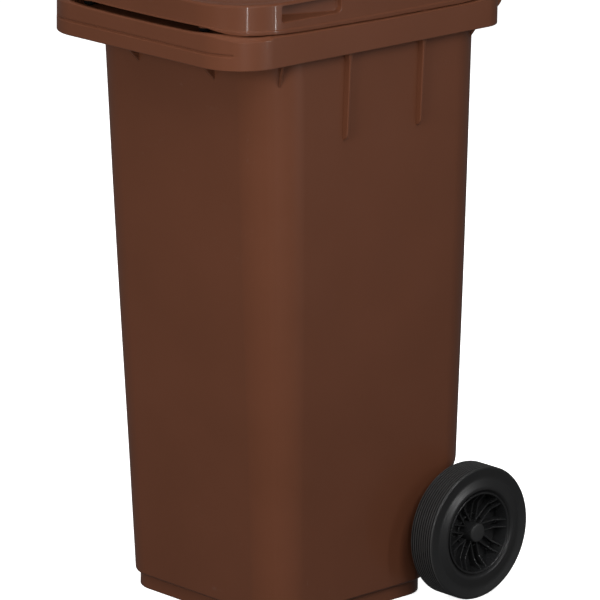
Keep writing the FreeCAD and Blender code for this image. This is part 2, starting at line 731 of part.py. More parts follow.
def make_locks():
    tip, length = D.lock_groove_radius + D.lock_tip_gap, D.lock_pin_length
    radius, spring = D.lock_pin_radius, D.lock_spring_radius
    pin_profile = ((0, 0), (0, radius - 1.2), (1.2, radius), (length, radius), (length, 0))
    plug, high = D.lock_plug_radius, D.lock_tower_top - D.lock_plug_bottom
    plug_profile = ((0, 0), (0, plug), (high, plug), (high, 0))
    for name, sign, turn in SIDES:
        x = (D.wheel_x - D.lock_x) * sign
        stand_on_end(turned(f"lock_pin_{name}", pin_profile), x, D.axle_rear, D.axle_height + tip)
        stand_on_end(turned(f"lock_plug_{name}", plug_profile), x, D.axle_rear,
                     D.axle_height + D.lock_plug_bottom)
        free = (D.lock_plug_bottom - tip - length).value - 2 * D.lock_spring_wire.value - 0.2
        turns = D.lock_spring_turns.value
        helix = doc.addObject("Part::Helix", f"spring_path_{name}")
        helix.Radius = spring.value - D.lock_spring_wire.value
        helix.Pitch = free / turns
        helix.Height = free
        doc.recompute()
        wire = Part.Wire(helix.Shape.Edges)
        start = wire.Vertexes[0].Point
        along = wire.Edges[0].tangentAt(wire.Edges[0].FirstParameter)
        ring = Part.Wire(Part.makeCircle(D.lock_spring_wire.value, start, along))
        coil = doc.addObject("Part::Feature", f"lock_spring_{name}")
        coil.Shape = wire.makePipeShell([ring], True, True)
        bottom = D.axle_height + tip + length + D.lock_spring_wire + 0.1
        coil.Placement = Placement(Vector(x.value, D.axle_rear.value, bottom.value), Rotation())
        coil.Label = f"lock_spring_{name}"


def make_buffers():
    """Rubber stops under the lid's front corners: the lid rests on them."""
    radius, stem = D.buffer_radius - 1, D.buffer_stem_radius
    high, top = D.buffer_height, D.buffer_stem_top
    profile = ((0.2, 0), (0.2, radius - 2), (1.7, radius), (high, radius), (high, stem),
               (top, stem), (top, 0))
    for name, sign, turn in SIDES:
        stand_on_end(turned(f"lid_buffer_{name}", profile), D.buffer_x * sign, -D.buffer_front,
                     D.lid_bottom)


make_tub()
make_lid()
make_hinge_pins()
make_axle()
make_spacers()
make_tyres()
make_hubs()
make_caps()
make_locks()
make_buffers()
doc.recompute()

# ---------------------------------------------------------------- check and write
NODES = ["tub", "lid", "axle"] + [
    f"{piece}_{name}"
    for piece in ("hinge_pin", "spacer", "tyre", "wheel_hub", "hub_cap", "lock_pin", "lock_plug",
                  "lock_spring", "lid_buffer")
    for name, sign, turn in SIDES]

for thing in doc.Objects:
    if "Invalid" in thing.State or "Error" in thing.State:
        raise RuntimeError(f"{thing.Name} failed: {thing.State}")
for node in NODES:
    thing = doc.getObjectsByLabel(node)[0]
    shape = thing.Shape
    if shape.isNull() or not shape.isValid():
        raise RuntimeError(f"{node} has no valid shape")
    print(node, len(shape.Solids), "solids", round(shape.Volume / 1000, 2), "cm3", shape.BoundBox)
    shape.exportStep(f"parts/{node}.step")
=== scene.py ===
import math

import bmesh
import bpy
import numpy as np
from mathutils import Matrix, Vector


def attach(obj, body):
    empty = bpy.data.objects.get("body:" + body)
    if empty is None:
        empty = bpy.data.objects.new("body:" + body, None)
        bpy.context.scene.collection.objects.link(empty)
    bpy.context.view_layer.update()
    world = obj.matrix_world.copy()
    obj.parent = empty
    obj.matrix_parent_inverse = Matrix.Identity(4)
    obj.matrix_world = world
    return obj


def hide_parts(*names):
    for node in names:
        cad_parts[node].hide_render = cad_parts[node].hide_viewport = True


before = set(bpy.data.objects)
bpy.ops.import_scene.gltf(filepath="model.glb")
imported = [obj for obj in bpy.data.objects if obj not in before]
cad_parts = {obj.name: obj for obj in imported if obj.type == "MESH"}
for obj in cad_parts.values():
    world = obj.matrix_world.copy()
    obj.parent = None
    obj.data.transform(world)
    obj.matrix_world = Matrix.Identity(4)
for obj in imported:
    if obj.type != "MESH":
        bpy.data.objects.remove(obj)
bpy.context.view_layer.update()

MM = 0.001
TINY = 1e-9
# a rounded corner takes at most this share of each side next to it, and stays sharp when its
# reach is below the second number
SIDE_SHARE = 0.48
SHORTEST_REACH = 0.05
SIDES = (("right", 1), ("left", -1))

# ---------------------------------------------------------------- sizes, in millimetres
# x is to the right as seen from the front, the front is towards -y, and z is up
FOOT_HEIGHT = 22
FOOT_INSET = 7
FOOT_WALL = 6
TUB_WALL = 3.5
FLOOR_RISE = 4
RIM_BOTTOM = 848.5
RIM_TOP = 893
RIM_WALL = 4
# the band above a seam in the front of the rim: the seam's height, how far the band is set in,
# and the distance in front of the middle at which it ends in the corners
BAND_SEAM = 870
BAND_STEP = 2.2
BAND_END = 268
GRIP_GAP_HALF = 116
GRIP_GAP_FRONT = 236

# level sections as (half width, front, rear, front corner radius, rear corner radius)
TUB_LOW = np.array((168.3, 158.5, 166, 54.3, 50))
TUB_STEP = np.array((171.6, 164.9, 166, 56.3, 50))
TUB_SHELF = np.array((173.3, 168.2, 229.7, 57.4, 57.4))
TUB_MOUTH = np.array((195, 210.9, 232.6, 70.8, 70.8))
RIM = np.array((210, 285, 250.5, 71, 41))
LID = np.array((206, 281, 236, 92, 45))
STEP_HEIGHT = 128
SHELF_HEIGHT = 184
WALL_BOW = 1.1

# line between rim and lid: the front's heights by |x|, the sides' by y, over the nominal ones
FRONT_END = -215
PARTING_FRONT = ((40, 140, 198), (0.8, 2.5, 1.2))
PARTING_SIDE = ((-215, -165, -125, -85, 0, 170, 225), (1.2, -1.1, -2.0, -2.6, -3.9, -4.4, 0))
# the rim's top at the ends of the slot under the lid, by |x|, over the parting line
LEDGE_RISE = ((118, 145, 165, 192), (0, 2.1, 2.7, 0))
LEDGE_CORNER_DROP = 3.6
RIM_WAVE_DEPTH = 9
LID_WAVE_HEIGHT = 26

# fins between the rim and the wall: how far each goes below the rim and out from the wall
WEB = 4
FRONT_FIN_X = 79
FRONT_FIN_DROP = 39
FRONT_FIN_REACH = 39
CORNER_FIN_DROP = {"front": 40, "rear": 25}
CORNER_FIN_REACH = {"front": 18, "rear": 10}
CORNER_FIN_TURN = 32
SIDE_RIB_Y = {"front": -59, "rear": 86}
SIDE_RIB_BOTTOM = 721
SIDE_RIB_PROUD = 10.2

LID_BOTTOM = 894
LID_EDGE = 936
LID_TOP = 941
LID_WALL = 3
LIFT_GAP_HEIGHT = 8.8
LIFT_GAP_END = 183
LIFT_GAP_TAPER = 58
LIFT_GAP_REAR = -205
BEAD_HEIGHT = 7
BEAD_PROUD = 1.3
POCKET_FRONT = 194
POCKET_REAR = 80
POCKET_BOTTOM = 910
POCKET_TOP = 933.5
POCKET_DEPTH = 19.5
POCKET_RADII = (3.5, 9, 7, 3.5)
# how much of its depth a pocket loses at the rear, and how its floor rises at the front end
POCKET_LEAN = 0.45
POCKET_FLOOR_RISE = 9
POCKET_FLOOR_END = 0.6

HINGE = (271, 903)
GRIP_RADIUS = 13
GRIP_HALF = 125
BRACKET_OUTER_X = 164
BRACKET_INNER_X = 126
BRACKET_HALF = 6
KNUCKLE_X = 145
KNUCKLE_WIDTH = 22
KNUCKLE_RADIUS = 12
BUFFER = (120, -262)
BUFFER_POST_RADIUS = 9

AXLE = (182, 100)
WHEEL_X = 217
WHEEL_RADIUS = 100
TYRE_HALF = 23.5
HUB_RADIUS = 62
CAP_X = 15
SPOKES = 9
SPOKE_TURN = -7
SPOKE_SPACING = 11.2
SPOKE_THICKNESS = 2.4
TREAD_GROOVES = 9
TREAD_PITCH = 4.4
TREAD_DEPTH = 2.6
PALE_TREAD_DEPTH = 1
LOCK_TOWER_INWARD = 14
LOCK_TOWER_RADIUS = 8
LOCK_TOWER_RISE = (14, 41)

BOSS_BORE = 10.1
BOSS_RADIUS = 17
BOSS_X = (112, 166)
BOSS_WEB_HALF = 2.4
BOSS_WEB_OFFSET = 14.2


# ---------------------------------------------------------------- numbers and flat outlines
def clamp(t):
    return max(0.0, min(1.0, t))


def smooth(t):
    t = clamp(t)
    return t * t * (3 - 2 * t)


def even(count):
    """Fractions that split a side into count equal lengths."""
    return [k / count for k in range(1, count)]


def inset(section, distance):
    return np.maximum(section - distance, 1.0)


def arc_points(centre, radius, start, finish, steps):
    """Points of a flat arc; the angles are in degrees."""
    points = []
    for k in range(steps + 1):
        a = math.radians(start + (finish - start) * k / steps)
        points.append((centre[0] + radius * math.cos(a), centre[1] + radius * math.sin(a)))
    return points


def circle_points(centre, radius, count):
    return arc_points(centre, radius, 0, 360, count)[:-1]


def conic(start, corner, end, weight, steps):
    """Points from start to end on an arc that is tangent to both sides of the corner."""
    points = []
    for j in range(steps + 1):
        t = j / steps
        a = (1 - t) ** 2
        b = 2 * weight * t * (1 - t)
        c = t * t
        points.append((a * start + b * corner + c * end) / (a + b + c))
    return points


def opening_angle(back, ahead):
    """Angle between two flat directions, in radians."""
    cosine = float(back @ ahead) / (np.hypot(*back) * np.hypot(*ahead))
    return math.acos(max(-1, min(1, cosine)))


def round_corners(points, radii, steps):
    """A closed flat outline with one radius for each corner."""
    count = len(points)
    result = []
    for k in range(count):
        here = np.array(points[k], float)
        back = np.array(points[k - 1], float) - here
        ahead = np.array(points[(k + 1) % count], float) - here
        len_back = np.hypot(*back)
        len_ahead = np.hypot(*ahead)
        half_angle = opening_angle(back, ahead) / 2
        reach = min(radii[k] / math.tan(half_angle), len_back * SIDE_SHARE, len_ahead * SIDE_SHARE)
        start = here + back * (reach / len_back)
        end = here + ahead * (reach / len_ahead)
        result += [tuple(p) for p in conic(start, here, end, math.sin(half_angle), steps)]
    return result


def softened_path(stations, steps=4):
    """Rows of (section, extra, height) with each corner rounded over its reach.

    stations are (section, extra, height, reach). A corner's shape is judged in the plane of
    front distance and height."""
    points = [np.array([*section, extra, height], float) for section, extra, height, reach in stations]
    reaches = [reach for section, extra, height, reach in stations]
    plane = [1, -1]
    path = [points[0]]
    for k in range(1, len(points) - 1):
        here = points[k]
        back = points[k - 1] - here
        ahead = points[k + 1] - here
        len_back = np.hypot(*back[plane]) or TINY
        len_ahead = np.hypot(*ahead[plane]) or TINY
        reach = min(reaches[k], len_back * SIDE_SHARE, len_ahead * SIDE_SHARE)
        if reach < SHORTEST_REACH:
            path.append(here)
            continue
        weight = math.sin(opening_angle(back[plane], ahead[plane]) / 2)
        start = here + back * (reach / len_back)
        end = here + ahead * (reach / len_ahead)
        path += conic(start, here, end, weight, steps)
    path.append(points[-1])
    return path


# ---------------------------------------------------------------- mesh helpers
def link_mesh(name, vertices, faces):
    """A new object in the scene, from points in millimetres."""
    mesh = bpy.data.meshes.new(name)
    mesh.from_pydata([Vector(v) * MM for v in vertices], [], faces)
    thing = bpy.data.objects.new(name, mesh)
    bpy.context.scene.collection.objects.link(thing)
    return thing


def new_object(name, vertices, faces, body):
    """A mesh without doubled points, its normals outwards, riding on a body."""
    thing = link_mesh(name, vertices, faces)
    tidy = bmesh.new()
    tidy.from_mesh(thing.data)
    bmesh.ops.remove_doubles(tidy, verts=tidy.verts, dist=2e-6)
    bmesh.ops.dissolve_degenerate(tidy, dist=1e-6, edges=tidy.edges)
    bmesh.ops.recalc_face_normals(tidy, faces=tidy.faces)
    tidy.to_mesh(thing.data)
    tidy.free()
    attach(thing, body)
    return thing


def apply_modifiers(thing):
    bpy.context.view_layer.update()
    graph = bpy.context.evaluated_depsgraph_get()
    baked = bpy.data.meshes.new_from_object(thing.evaluated_get(graph), depsgraph=graph,
                                            preserve_all_data_layers=True)
    thing.modifiers.clear()
    thing.data = baked


def soften(thing, width=1.2, segments=2, bevel=True, sharp=50):
    """Small round edges, and normals that keep the big faces flat."""
    if bevel:
        edge = thing.modifiers.new("edge", "BEVEL")
        edge.width = width * MM
        edge.segments = segments
        edge.limit_method = "ANGLE"
        edge.angle_limit = math.radians(30)
        edge.use_clamp_overlap = True
        apply_modifiers(thing)
    shape = bmesh.new()
    shape.from_mesh(thing.data)
    for face in shape.faces:
        face.smooth = True
    for line in shape.edges:
        line.smooth = line.calc_face_angle(0.0) < math.radians(sharp)
    shape.to_mesh(thing.data)
    shape.free()
    flat = thing.modifiers.new("flat", "WEIGHTED_NORMAL")
    flat.keep_sharp = True
    flat.weight = 60
    apply_modifiers(thing)
    return thing


def outline(section, arc_turns, front_cuts, rear_cuts, side_cuts):
    """Points of a level rounded rectangle, anticlockwise from the right-front corner.

    Cuts are fractions along each straight side; every ring of one piece has the same ones."""
    wide, front, rear, r1, r2 = section
    points = []

    def arc(x, y, radius, start):
        for t in arc_turns:
            a = math.radians(start + 90 * t)
            points.append((x + radius * math.cos(a), y + radius * math.sin(a)))

    def line(start, end, cuts):
        for t in cuts:
            points.append((start[0] + (end[0] - start[0]) * t, start[1] + (end[1] - start[1]) * t))

    arc(wide - r1, r1 - front, r1, -90)
    line((wide, r1 - front), (wide, rear - r2), side_cuts)
    arc(wide - r2, rear - r2, r2, 0)
    line((wide - r2, rear), (r2 - wide, rear), rear_cuts)
    arc(r2 - wide, rear - r2, r2, 90)
    line((-wide, rear - r2), (-wide, r1 - front), [1 - t for t in reversed(side_cuts)])
    arc(r1 - wide, r1 - front, r1, 180)
    line((r1 - wide, -front), (wide - r1, -front), front_cuts)
    return points


def take_away(thing, tool):
    """Cut the tool's shape out of thing, and drop the tool."""
    cutting = thing.modifiers.new("cut", "BOOLEAN")
    cutting.operation = "DIFFERENCE"
    cutting.solver = "EXACT"
    cutting.object = tool
    apply_modifiers(thing)
    bpy.data.objects.remove(tool)


def cut_box(thing, low, high):
    """Cut a box out of thing, between two opposite corners."""
    corners = [(x, y, z) for x in (low[0], high[0]) for y in (low[1], high[1])
               for z in (low[2], high[2])]
    faces = [(0, 1, 3, 2), (4, 6, 7, 5), (0, 4, 5, 1), (2, 3, 7, 6), (0, 2, 6, 4), (1, 5, 7, 3)]
    take_away(thing, link_mesh("cutter", corners, faces))


def band_faces(count, columns):
    """Quads between each ring of points and the next."""
    faces = []
    for k in range(count - 1):
        a = k * columns
        b = a + columns
        for j in range(columns):
            n = (j + 1) % columns
            faces.append((a + j, a + n, b + n, b + j))
    return faces


def ring_shell(name, rings, body, cap_start, cap_end):
    """A closed shell from rings of equal length, each end closed by a fan to a centre."""
    columns = len(rings[0])
    vertices = [p for ring in rings for p in ring]
    faces = band_faces(len(rings), columns)
    for first, centre in ((0, cap_start), (len(vertices) - columns, cap_end)):
        middle = len(vertices)
        vertices.append(centre)
        for j in range(columns):
            faces.append((first + j, first + (j + 1) % columns, middle))
    return new_object(name, vertices, faces, body)


def loft_solid(name, rings, body):
    """A solid from rings of equal length, each end closed by one face."""
    columns = len(rings[0])
    vertices = [p for ring in rings for p in ring]
    faces = band_faces(len(rings), columns)
    faces.append(tuple(range(columns)))
    faces.append(tuple(range(len(vertices) - columns, len(vertices))))
    return new_object(name, vertices, faces, body)


def extruded(name, points, low, high, body, axis="x", width=1.2, segments=2):
    """A closed outline extruded along an axis, with small round edges."""
    vertices = []
    for along in (low, high):
        for u, v in points:
            vertices.append((along, u, v) if axis == "x" else (u, v, along))
    count = len(points)
    faces = [tuple(range(count)), tuple(reversed(range(count, 2 * count)))]
    for k in range(count):
        n = (k + 1) % count
        faces.append((k, n, count + n, count + k))
    return soften(new_object(name, vertices, faces, body), width, segments)


def turned(name, profile, centre, body, segments=96, sign=1):
    """Turned about the X axis through centre, from (x, radius) points."""
    vertices = []
    faces = []
    for k in range(segments):
        a = 2 * math.pi * k / segments
        for x, radius in profile:
            vertices.append((centre[0] + sign * x, centre[1] + radius * math.cos(a),
                             centre[2] + radius * math.sin(a)))
    count = len(profile)
    for k in range(segments):
        n = (k + 1) % segments
        for j in range(count):
            m = (j + 1) % count
            faces.append((k * count + j, k * count + m, n * count + m, n * count + j))
    return new_object(name, vertices, faces, body)


# ---------------------------------------------------------------- tub
def arc_steps(count, marks=(), width=0.018):
    """Shares of a quarter turn: even ones, and four close ones round each mark."""
    turns = set(round(k / count, 5) for k in range(count + 1))
    for mark in marks:
        for shift in (-1, -0.4, 0.4, 1):
            turns.add(round(mark + shift * width, 5))
    return sorted(turns)


# share of the front corner's arc at which the band ends; the outline has close points there
BAND_TURN = math.acos((BAND_END - (RIM[1] - RIM[3])) / RIM[3]) / math.radians(90)
TUB_ARC = arc_steps(20, (BAND_TURN, 1 - BAND_TURN))


def tub_outline(section):
    return outline(section, TUB_ARC, even(10), even(10), even(12))


def set_back(point, lower, extra):
    """Move a point onto the set-in ring, in front of the band's ends only.

    The step itself fades out over 14 mm; the groove under the band ends within 2 mm."""
    beyond = -point[1] - BAND_END
    step = min(extra, 1) * smooth((beyond + 5) / 14)
    groove = max(0, extra - 1) * smooth(beyond / 2)
    share = (step + groove) / extra
    return tuple(a + (b - a) * share for a, b in zip(point, lower))


def parting(x, y):
    """Height of the line between rim and lid, over its nominal one: high at the front corners."""
    if y < FRONT_END:
        return float(np.interp(abs(x), *PARTING_FRONT))
    return float(np.interp(y, *PARTING_SIDE))


def ledge(x, y, inward):
    """Rise of the rim's top: ramps at the ends of the slot, lower at the corners' outer edge."""
    if y > FRONT_END:
        return parting(x, y)
    rise = parting(x, y) + float(np.interp(abs(x), *LEDGE_RISE))
    if inward < 5:
        return rise - LEDGE_CORNER_DROP * smooth((abs(x) - 130) / 50)
    if inward > 10:
        # flat under the lid's buffers
        return rise - rise * smooth((26 - abs(abs(x) - BUFFER[0])) / 14)
    return rise


def make_tub_shell():
    """Foot, outer wall, rim, inner wall and floor, from the outside round to the inside."""
    foot_out = inset(TUB_LOW, FOOT_INSET)
    foot_in = inset(TUB_LOW, FOOT_INSET + FOOT_WALL)
    floor_height = FOOT_HEIGHT + FLOOR_RISE

    def inner(section):
        return inset(section, TUB_WALL)

    def wall(offset, shares):
        stations = []
        for t in shares:
            section = TUB_SHELF + (TUB_MOUTH - TUB_SHELF) * t
            height = SHELF_HEIGHT + (RIM_TOP - SHELF_HEIGHT) * t
            swell = WALL_BOW * math.sin(math.pi * min(1, t * 1.05)) ** 1.5
            stations.append((inset(section, offset - swell), 0, height, 0))
        return stations

    # heights of the wall's levels, as shares of the way from the shelf to the rim
    shares = [0.06 + 0.88 * k / 11 for k in range(12)]
    stations = [
        (foot_in, 0, FOOT_HEIGHT, 0),
        (foot_in, 0, 0, 1.2),
        (foot_out, 0, 0, 1.8),
        (foot_out, 0, FOOT_HEIGHT, 2.5),
        (TUB_LOW, 0, FOOT_HEIGHT + 1, 4.5),
        (TUB_STEP, 0, STEP_HEIGHT, 5),
        (TUB_SHELF, 0, SHELF_HEIGHT, 12)]
    stations += wall(0, shares)
    stations += [
        (TUB_MOUTH, 0, RIM_TOP - RIM_WALL, 3),
        (inset(RIM, RIM_WALL), 0, RIM_TOP - RIM_WALL, 2.5),
        (inset(RIM, RIM_WALL), 0, RIM_BOTTOM, 0.8),
        (RIM, 0, RIM_BOTTOM, 1.6),
        (RIM, 0, BAND_SEAM - 1.8, 0.9),
        (RIM, 1.7, BAND_SEAM - 0.5, 0.4),
        (RIM, 1.7, BAND_SEAM + 1.5, 0.4),
        (RIM, 1, BAND_SEAM + 2.1, 0.5),
        (RIM, 1, RIM_TOP, 2.4),
        (inset(RIM, 7), 0, RIM_TOP + 0.6, 2),
        (inset(RIM, 13), 0, RIM_TOP, 2),
        (inner(TUB_MOUTH), 0, RIM_TOP, 2.2)]
    stations += wall(TUB_WALL, reversed(shares))
    stations += [
        (inner(TUB_SHELF), 0, SHELF_HEIGHT + 2, 10),
        (inner(TUB_STEP), 0, STEP_HEIGHT + 2, 5),
        (inner(TUB_LOW), 0, floor_height, 9),
        (inset(TUB_LOW, TUB_WALL + 25), 0, floor_height, 0)]
    rings = []
    for step in softened_path(stations):
        section, extra, height = step[:5], step[5], step[6]
        ring = tub_outline(section)
        if extra > 0:
            lower = tub_outline(inset(section, BAND_STEP * extra))
            ring = [set_back(a, b, extra) for a, b in zip(ring, lower)]
        edge = clamp((height - RIM_TOP + RIM_WAVE_DEPTH) / RIM_WAVE_DEPTH)
        rings.append([(x, y, height + edge * ledge(x, y, RIM[0] - section[0])) for x, y in ring])
    return ring_shell("tub_shell", rings, "tub",
                      (0, 0, FOOT_HEIGHT), (0, 0, floor_height))


def make_webs():
    """Fins under the rim: one pair in front, two long ribs a side, one at each corner."""
    pieces = []
    wall_y = -(TUB_MOUTH[1] - 6)
    rim_y = -(RIM[1] - 3)
    low = RIM_BOTTOM - FRONT_FIN_DROP
    high = RIM_TOP - 2
    fin = ((wall_y, low), (wall_y, high), (rim_y, high), (rim_y, RIM_BOTTOM + 2),
           (wall_y - FRONT_FIN_REACH, RIM_BOTTOM))
    for name, sign in SIDES:
        x = FRONT_FIN_X * sign
        pieces.append(extruded(f"front_gusset_{name}", fin, x - WEB / 2, x + WEB / 2,
                               "tub", width=0.9))
        for end in ("front", "rear"):
            pieces.append(make_side_rib(f"side_rib_{end}_{name}", sign, SIDE_RIB_Y[end]))
        for end in ("front", "rear"):
            pieces.append(make_corner_gusset(f"corner_gusset_{end}_{name}", sign, end))
    return pieces


def make_side_rib(name, sign, y):
    """A long rib down the wall: rounded nose, tapered foot, flared where it meets the rim."""
    bottom = SIDE_RIB_BOTTOM
    top = RIM_TOP - 3
    inner_x = TUB_MOUTH[0] - 12
    nose = 1.5
    wall_slope = (TUB_MOUTH[0] - TUB_SHELF[0]) / (RIM_TOP - SHELF_HEIGHT)
    # height, share of the full depth, half width
    levels = ((bottom, 0.35, 1.7), (bottom + 2.5, 0.8, 2.0), (bottom + 8, 1.0, 2.1), (820, 1.0, 2.1),
              (834, 1.0, 2.3), (842, 1.0, 3.3), (RIM_BOTTOM + 1, 1.0, 5.2), (top, 1.0, 5.6))
    rings = []
    for z, part, half in levels:
        wall_x = TUB_SHELF[0] + wall_slope * (z - SHELF_HEIGHT)
        proud = wall_x + SIDE_RIB_PROUD * part - 1.2 * (top - z) / (top - bottom)
        ring = [(inner_x, y - half)]
        ring += arc_points((proud - nose, y - half + nose), nose, -90, 0, 4)
        ring += arc_points((proud - nose, y + half - nose), nose, 0, 90, 4)
        ring.append((inner_x, y + half))
        rings.append([(sign * px, py, z) for px, py in ring])
    rib = loft_solid(name, rings, "tub")
    return soften(rib, bevel=False)


def make_corner_gusset(name, sign, end):
    """A fin that points outwards from the middle of a corner's curve."""
    corner = TUB_MOUTH[3]
    near = corner - 6
    reach = corner + CORNER_FIN_REACH[end]
    low = RIM_BOTTOM - CORNER_FIN_DROP[end]
    high = RIM_TOP - 2
    profile = ((near, low), (near, high), (reach, high), (reach, RIM_BOTTOM))
    piece = extruded(name, profile, -WEB / 2, WEB / 2, "tub", width=0.9)
    x = sign * (TUB_MOUTH[0] - corner)
    if end == "front":
        y = corner - TUB_MOUTH[1]
        angle = -CORNER_FIN_TURN
    else:
        y = TUB_MOUTH[2] - corner
        angle = CORNER_FIN_TURN
    heading = angle if sign > 0 else 180 - angle
    # the profile was drawn along Y; turn Y onto the heading
    turn = Matrix.Rotation(math.radians(heading - 90), 4, "Z")
    move = Matrix.Translation(Vector((x, y, 0)) * MM)
    piece.data.transform(move @ turn)
    return piece


def lobe_outline(front_y):
    """Side view of a handle bracket: a boss on the hinge line and a rounded lobe under it."""
    boss = 14
    lobe = 18
    lobe_y = 260
    lobe_z = 880
    run = np.array((HINGE[0] - lobe_y, HINGE[1] - lobe_z), float)
    span = np.hypot(*run)
    lean = (lobe - boss) / span
    side = math.sqrt(1 - lean * lean)
    normal = np.array((run[0] * lean + run[1] * side, run[1] * lean - run[0] * side)) / span
    finish = math.degrees(math.atan2(normal[1], normal[0]))
    points = [(front_y, lobe_z - lobe)]
    points += arc_points((lobe_y, lobe_z), lobe, -90, finish, 8)
    points += arc_points(HINGE, boss, finish, 155, 12)
    points.append((RIM[2] + 1, RIM_TOP + 6))
    if front_y < RIM[2] - 5:
        points.append((GRIP_GAP_FRONT + 2, RIM_TOP - 1))
    points.append((front_y, RIM_TOP - 1))
    return points


def make_handles():
    """The grip bar and the five brackets that carry it and the hinges."""
    pieces = []
    places = [("middle", 0)]
    for name, sign in SIDES:
        places += [(f"outer_{name}", BRACKET_OUTER_X * sign), (f"inner_{name}", BRACKET_INNER_X * sign)]
    for name, x in places:
        front = GRIP_GAP_FRONT - 5 if name == "middle" else RIM[2] - 4
        pieces.append(extruded(f"bracket_{name}", lobe_outline(front), x - BRACKET_HALF,
                               x + BRACKET_HALF, "tub", width=1.5, segments=3))
    profile = [(-GRIP_HALF, 0.5), (-GRIP_HALF, GRIP_RADIUS), (GRIP_HALF, GRIP_RADIUS),
               (GRIP_HALF, 0.5)]
    pieces.append(turned("grip_bar", profile, (0, HINGE[0], HINGE[1]), "tub", 48))
    return pieces


def make_axle_bosses():
    """Two bored tubes behind the tub, each held by two upright webs and two level ones."""
    pieces = []
    wall = TUB_LOW[2] - 3
    tip = AXLE[0] + 17
    slope = (SHELF_HEIGHT - STEP_HEIGHT) / (TUB_SHELF[2] - TUB_STEP[2])
    web = ((wall, AXLE[1]), (tip, AXLE[1]),
           (tip, STEP_HEIGHT + (tip - TUB_STEP[2]) * slope + 4), (wall, STEP_HEIGHT + 4))
    for name, sign in SIDES:
        low, high = sorted((BOSS_X[0] * sign, BOSS_X[1] * sign))
        ring = [(low, BOSS_BORE), (low, BOSS_RADIUS - 1), (low + 1, BOSS_RADIUS),
                (high - 1, BOSS_RADIUS), (high, BOSS_RADIUS - 1), (high, BOSS_BORE)]
        pieces.append(turned(f"axle_boss_{name}", ring, (0, AXLE[0], AXLE[1]), "tub",
                             64))
        for k, x in enumerate((low + 2.5, high - 2.5)):
            pieces.append(extruded(f"boss_web_{k}_{name}", web, x - BOSS_WEB_HALF,
                                   x + BOSS_WEB_HALF, "tub", width=0.8))
        for k, z in enumerate((AXLE[1] - BOSS_WEB_OFFSET, AXLE[1] + BOSS_WEB_OFFSET)):
            root = ((wall, z - BOSS_WEB_HALF), (AXLE[0] - 4, z - BOSS_WEB_HALF),
                    (AXLE[0] - 4, z + BOSS_WEB_HALF), (wall, z + BOSS_WEB_HALF))
            pieces.append(extruded(f"boss_root_{k}_{name}", root, low + 0.5, high - 0.5, "tub",
                                   width=0.8))
    return pieces


def make_tub():
    shell = make_tub_shell()
    cut_box(shell, (-GRIP_GAP_HALF, GRIP_GAP_FRONT, RIM_BOTTOM - 3),
            (GRIP_GAP_HALF, RIM[2] + 5, RIM_TOP + 3))
    soften(shell, bevel=False)
    return [shell] + make_webs() + make_handles() + make_axle_bosses()


# ---------------------------------------------------------------- lid
LID_ARC = arc_steps(24)


def lid_outline(section):
    return outline(section, LID_ARC, even(24), even(8), even(12))


def lift_gap(x, y):
    """How far the lid's lower edge rises over the front of the rim, for fingers."""
    if y > LIFT_GAP_REAR:
        return 0.0
    return LIFT_GAP_HEIGHT * smooth((LIFT_GAP_END - abs(x)) / LIFT_GAP_TAPER)


def lid_rings(stations):
    """Rings of the lid; a station's extra is its share of the finger gap's rise."""
    rings = []
    for step in softened_path(stations):
        section, share, height = step[:5], step[5], step[6]
        low = smooth(1 - (height - LID_BOTTOM) / LID_WAVE_HEIGHT) if height >= LID_BOTTOM else 0
        rings.append([(x, y, height + share * lift_gap(x, y) + low * parting(x, y))
                      for x, y in lid_outline(section)])
    return rings


def lid_solid(name, stations, low, high):
    middle_y = -20
    return ring_shell(name, lid_rings(stations), "lid",
                      (0, middle_y, low), (0, middle_y, high))


def pocket_tool(name, sign, grow):
    """Solid the shape of a side pocket, larger by grow; at grow 0 its mouth flares softly."""
    low_y = -POCKET_FRONT - grow
    high_y = -POCKET_REAR + grow
    low_z = POCKET_BOTTOM - grow
    high_z = POCKET_TOP - 0.5 + grow
    mouth_x = LID[0] - BEAD_PROUD - 0.4
    floor_x = LID[0] - POCKET_DEPTH - grow
    lip = 1.7
    floor = 3.0

    def lean(x, u, v):
        """Shallower towards the rear, with a floor that rises inwards at the front end."""
        along = clamp((u + POCKET_FRONT) / (POCKET_FRONT - POCKET_REAR))
        inward = max(0.0, mouth_x - x) / POCKET_DEPTH
        x += inward * POCKET_DEPTH * POCKET_LEAN * along
        low = clamp((high_z - v) / (high_z - low_z))
        rise = POCKET_FLOOR_RISE * inward * low * max(0.0, 1 - along / POCKET_FLOOR_END)
        return sign * x, u, v + rise

    def ring(x, wider):
        corners = [(low_y - wider, low_z - wider), (high_y + wider, low_z - wider),
                   (high_y + wider, high_z + wider), (low_y - wider, high_z + wider)]
        radii = [radius + grow + wider for radius in POCKET_RADII]
        return [lean(x, u, v) for u, v in round_corners(corners, radii, steps=8)]

    rings = [ring(floor_x, -floor)]
    for k in range(1, 5):
        a = math.radians(90 * k / 4)
        rings.append(ring(floor_x + floor * (1 - math.cos(a)), -floor * (1 - math.sin(a))))
    if grow == 0:
        for k in range(6):
            a = math.radians(84 * k / 5)
            rings.append(ring(mouth_x - lip + lip * math.sin(a), lip * (1 - math.cos(a))))
        rings.append(ring(mouth_x + 0.8, lip * 1.12))
    else:
        rings.append(ring(mouth_x, 0))
    rings.append(ring(LID[0] + 12, lip * 1.12 if grow == 0 else 0))
    return loft_solid(name, rings, "lid")


